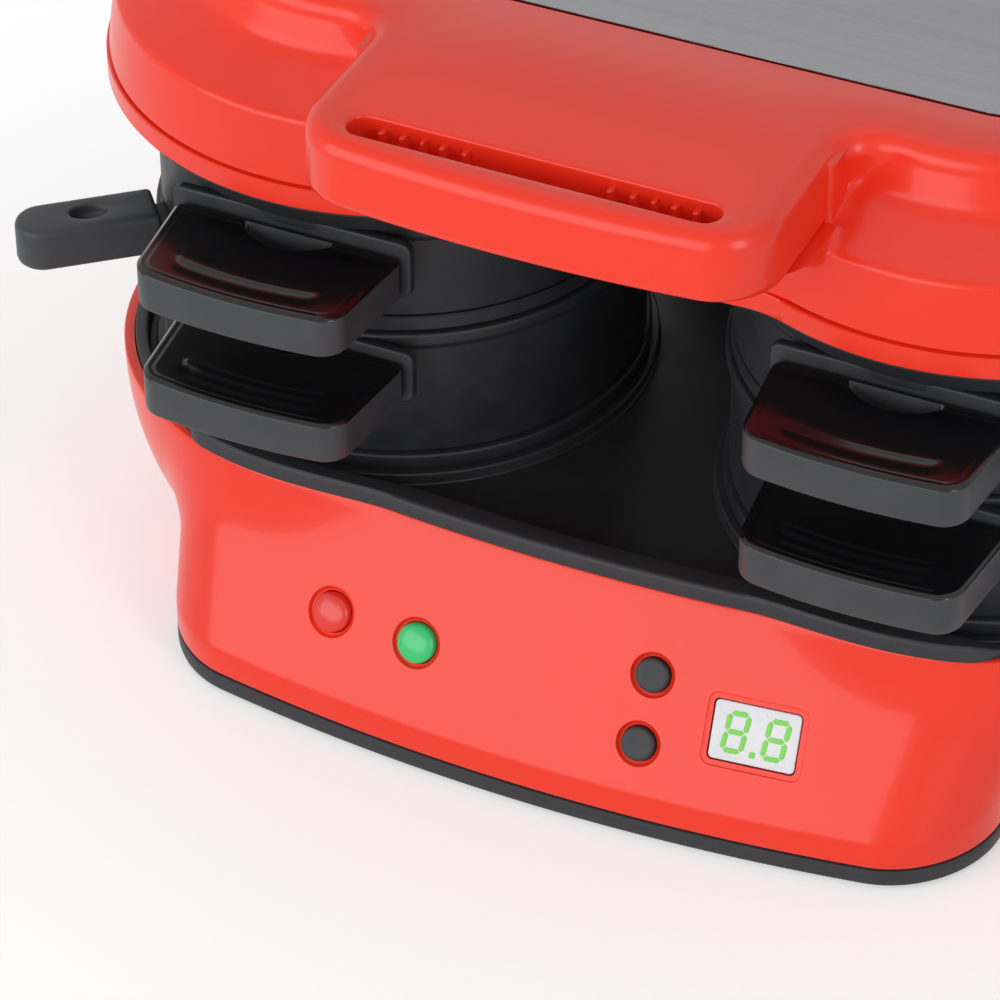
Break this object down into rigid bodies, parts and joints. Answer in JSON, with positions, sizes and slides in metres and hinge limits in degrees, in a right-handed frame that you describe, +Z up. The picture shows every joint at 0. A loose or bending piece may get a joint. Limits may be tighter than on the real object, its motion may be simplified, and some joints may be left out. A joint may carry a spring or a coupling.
{
  "type": "electric burger maker",
  "caption": "Twin-pocket countertop burger cooker: red rounded lid and base, stacked lift-up rings with black handles, swinging plates and a timer panel.",
  "frame": {"origin": "on the table, under the middle of the machine", "axes": "+X to the right seen from the front, +Y to the back with the hinge, +Z up"},
  "size_m": [0.3056, 0.2074, 0.1821],
  "materials": {
    "red_gloss": "glossy",
    "black_plastic": "satin",
    "dark_coating": "non-stick coating",
    "brushed_panel": "brushed",
    "bright_steel": "plain",
    "foot_rubber": "matt",
    "display_white": "clear window",
    "red_lens": "translucent",
    "green_lens": "translucent",
    "board_green": "lacquered"
  },
  "bodies": {
    "base": {"base_shell": "red_gloss", "base_tray": "black_plastic", "bottom_cover": "black_plastic", "foot_front_left": "foot_rubber", "foot_front_right": "foot_rubber", "foot_rear_left": "foot_rubber", "foot_rear_right": "foot_rubber", "bottom_screw_1": "bright_steel", "bottom_screw_2": "bright_steel", "bottom_screw_3": "bright_steel", "bottom_screw_4": "bright_steel", "control_board": "board_green", "display_module": "display_white", "power_light": "red_lens", "ready_light": "green_lens", "cord_gland": "black_plastic", "hinge_column": "black_plastic", "hinge_post_left": "black_plastic", "hinge_post_right": "black_plastic", "hinge_rod": "bright_steel", "lower_plate_left": "dark_coating", "lower_plate_right": "dark_coating", "lower_element_left": "bright_steel", "lower_element_right": "bright_steel", "lower_thermostat_left": "bright_steel", "lower_thermostat_right": "bright_steel"},
    "lid": {"lid_shell": "red_gloss", "lid_liner": "black_plastic", "steel_panel": "brushed_panel", "upper_plate_left": "dark_coating", "upper_plate_right": "dark_coating", "upper_element_left": "bright_steel", "upper_element_right": "bright_steel"},
    "timer_up": {"timer_up_button": "black_plastic"},
    "timer_down": {"timer_down_button": "black_plastic"},
    "bottom_ring_unit_left": {"bottom_ring_left": "dark_coating", "bottom_ring_handle_left": "black_plastic"},
    "top_ring_unit_left": {"top_ring_left": "dark_coating", "top_ring_handle_left": "black_plastic", "egg_pivot_pin_left": "bright_steel"},
    "egg_plate_unit_left": {"egg_plate_left": "dark_coating", "egg_handle_left": "black_plastic"},
    "bottom_ring_unit_right": {"bottom_ring_right": "dark_coating", "bottom_ring_handle_right": "black_plastic"},
    "top_ring_unit_right": {"top_ring_right": "dark_coating", "top_ring_handle_right": "black_plastic", "egg_pivot_pin_right": "bright_steel"},
    "egg_plate_unit_right": {"egg_plate_right": "dark_coating", "egg_handle_right": "black_plastic"}
  },
  "joints": [
    {"name": "lid_hinge", "type": "hinge", "parent": "base", "child": "lid", "pos_m": [0, 0.086, 0.122], "axis": [-1, 0, 0], "range_deg": [0, 95]},
    {"name": "top_ring_left_hinge", "type": "hinge", "parent": "base", "child": "top_ring_unit_left", "pos_m": [-0.077, 0.086, 0.122], "axis": [-1, 0, 0], "range_deg": [0, 62]},
    {"name": "bottom_ring_left_hinge", "type": "hinge", "parent": "base", "child": "bottom_ring_unit_left", "pos_m": [-0.077, 0.086, 0.122], "axis": [-1, 0, 0], "range_deg": [0, 34]},
    {"name": "egg_plate_left_swing", "type": "hinge", "parent": "top_ring_unit_left", "child": "egg_plate_unit_left", "pos_m": [-0.12071, 0.05209, 0.1], "axis": [0, 0, -1], "range_deg": [0, 100]},
    {"name": "top_ring_right_hinge", "type": "hinge", "parent": "base", "child": "top_ring_unit_right", "pos_m": [0.077, 0.086, 0.122], "axis": [-1, 0, 0], "range_deg": [0, 62]},
    {"name": "bottom_ring_right_hinge", "type": "hinge", "parent": "base", "child": "bottom_ring_unit_right", "pos_m": [0.077, 0.086, 0.122], "axis": [-1, 0, 0], "range_deg": [0, 34]},
    {"name": "egg_plate_right_swing", "type": "hinge", "parent": "top_ring_unit_right", "child": "egg_plate_unit_right", "pos_m": [0.12071, 0.05209, 0.1], "axis": [0, 0, 1], "range_deg": [0, 100]},
    {"name": "timer_up_press", "type": "slide", "parent": "base", "child": "timer_up", "axis": [-0.0469, 0.8772, -0.4778], "range_m": [0, 0.001], "stiffness_N_per_m": 400, "springref_m": -0.0004},
    {"name": "timer_down_press", "type": "slide", "parent": "base", "child": "timer_down", "axis": [-0.0468, 0.8772, -0.4778], "range_m": [0, 0.001], "stiffness_N_per_m": 400, "springref_m": -0.0004}
  ],
  "couplings": [
    {"joint": "top_ring_left_hinge", "follows": "lid_hinge", "ratio": 0.65},
    {"joint": "bottom_ring_left_hinge", "follows": "lid_hinge", "ratio": 0.35},
    {"joint": "top_ring_right_hinge", "follows": "lid_hinge", "ratio": 0.65},
    {"joint": "bottom_ring_right_hinge", "follows": "lid_hinge", "ratio": 0.35}
  ]
}
